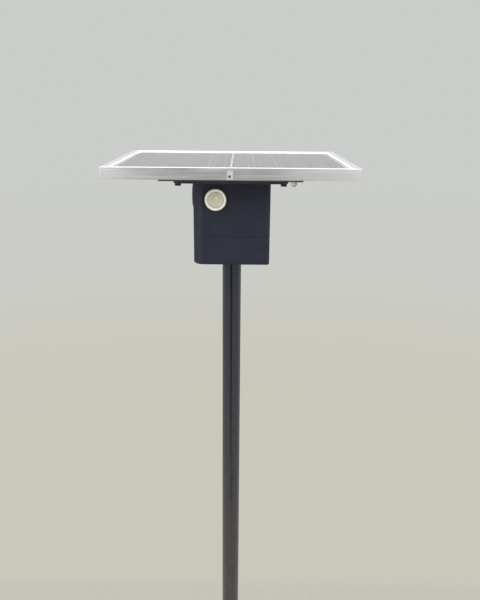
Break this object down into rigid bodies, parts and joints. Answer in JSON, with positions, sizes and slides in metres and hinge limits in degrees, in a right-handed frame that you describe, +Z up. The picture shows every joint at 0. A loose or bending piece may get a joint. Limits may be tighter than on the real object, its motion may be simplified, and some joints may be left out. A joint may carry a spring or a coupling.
{
  "type": "solar street lamp",
  "caption": "Solar street lamp: a framed solar panel lies flat on a slim round pole, with a dark case of round lamps hung under it around the pole.",
  "frame": {"origin": "on the pole's axis at the underside of the base plate", "axes": "+Z up along the pole, -Y towards the front lamp, -X towards the left lamp"},
  "size_m": [0.35, 0.29, 1.29],
  "materials": {
    "gloss_black_steel": "gloss black paint",
    "bracket_steel": "satin dark powder coat",
    "frame_aluminium": "satin anodised",
    "zinc_steel": "bright zinc plating",
    "dark_bolt": "dull dark coating",
    "earth_brass": "bright",
    "panel_glass": "clear low-iron glass",
    "solar_cell": "silicon cells behind glass",
    "backsheet_white": "matt white film",
    "case_plastic": "satin navy-charcoal moulding",
    "lamp_cream": "cream moulding",
    "lamp_lens": "clear lens",
    "phosphor": "yellow phosphor",
    "rubber_black": "black rubber",
    "black_plastic": "black moulding",
    "lead_sheath": "black flexible sheath",
    "wire_sheath": "coloured insulation",
    "cell_wrap": "blue shrink wrap",
    "board_green": "solder resist",
    "terminal_green": "moulded",
    "board_aluminium": "white faced"
  },
  "bodies": {
    "pole": {"base_plate": "gloss_black_steel", "gussets": "gloss_black_steel", "pole_tube": "gloss_black_steel", "pole_cap": "black_plastic"},
    "head": {"pole_socket": "bracket_steel", "clamp_screws": "zinc_steel", "carrier_plate": "bracket_steel", "front_strap": "bracket_steel", "rear_strap": "bracket_steel", "frame_bolts": "dark_bolt", "frame_nuts": "zinc_steel", "earth_bolt": "earth_brass", "earth_washer": "zinc_steel", "earth_nut": "zinc_steel", "frame_front": "frame_aluminium", "frame_rear": "frame_aluminium", "frame_left": "frame_aluminium", "frame_right": "frame_aluminium", "corner_keys": "frame_aluminium", "panel_glass": "panel_glass", "solar_cells": "solar_cell", "backsheet": "backsheet_white", "junction_box": "black_plastic", "junction_lid": "black_plastic", "junction_gland": "rubber_black", "panel_lead": "lead_sheath", "case_gland": "black_plastic", "gland_nut": "black_plastic", "case_shell": "case_plastic", "case_gasket": "rubber_black", "tie_rods": "zinc_steel", "rod_nuts": "zinc_steel", "front_lamp_bezel": "lamp_cream", "left_lamp_bezel": "lamp_cream", "rear_lamp_bezel": "lamp_cream", "front_lamp_lens": "lamp_lens", "left_lamp_lens": "lamp_lens", "rear_lamp_lens": "lamp_lens", "lamp_gaskets": "rubber_black", "lamp_nuts": "black_plastic", "lamp_reflectors": "lamp_cream", "led_boards": "board_aluminium", "led_emitters": "phosphor", "lamp_heat_sinks": "frame_aluminium", "battery_cells": "cell_wrap", "upper_cell_plate": "black_plastic", "lower_cell_plate": "black_plastic", "cell_links": "zinc_steel", "controller_board": "board_green", "board_parts": "dark_bolt", "terminal_strip": "terminal_green", "board_screws": "zinc_steel", "inner_wiring": "wire_sheath", "switch_body": "black_plastic", "switch_nut": "zinc_steel"},
    "cover": {"lower_cover": "case_plastic", "pole_seal": "rubber_black", "cover_screws": "zinc_steel"},
    "button": {"switch_button": "zinc_steel"}
  },
  "joints": [
    {"name": "head_swivel", "type": "hinge", "parent": "pole", "child": "head", "pos_m": [0, 0, 1.272], "axis": [0, 0, 1], "continuous": true},
    {"name": "cover_slide", "type": "slide", "parent": "head", "child": "cover", "axis": [0, 0, -1], "range_m": [0, 1.063]},
    {"name": "button_press", "type": "slide", "parent": "head", "child": "button", "axis": [0, -1, 0], "range_m": [0, 0.002], "stiffness_N_per_m": 400, "springref_m": -0.002}
  ]
}
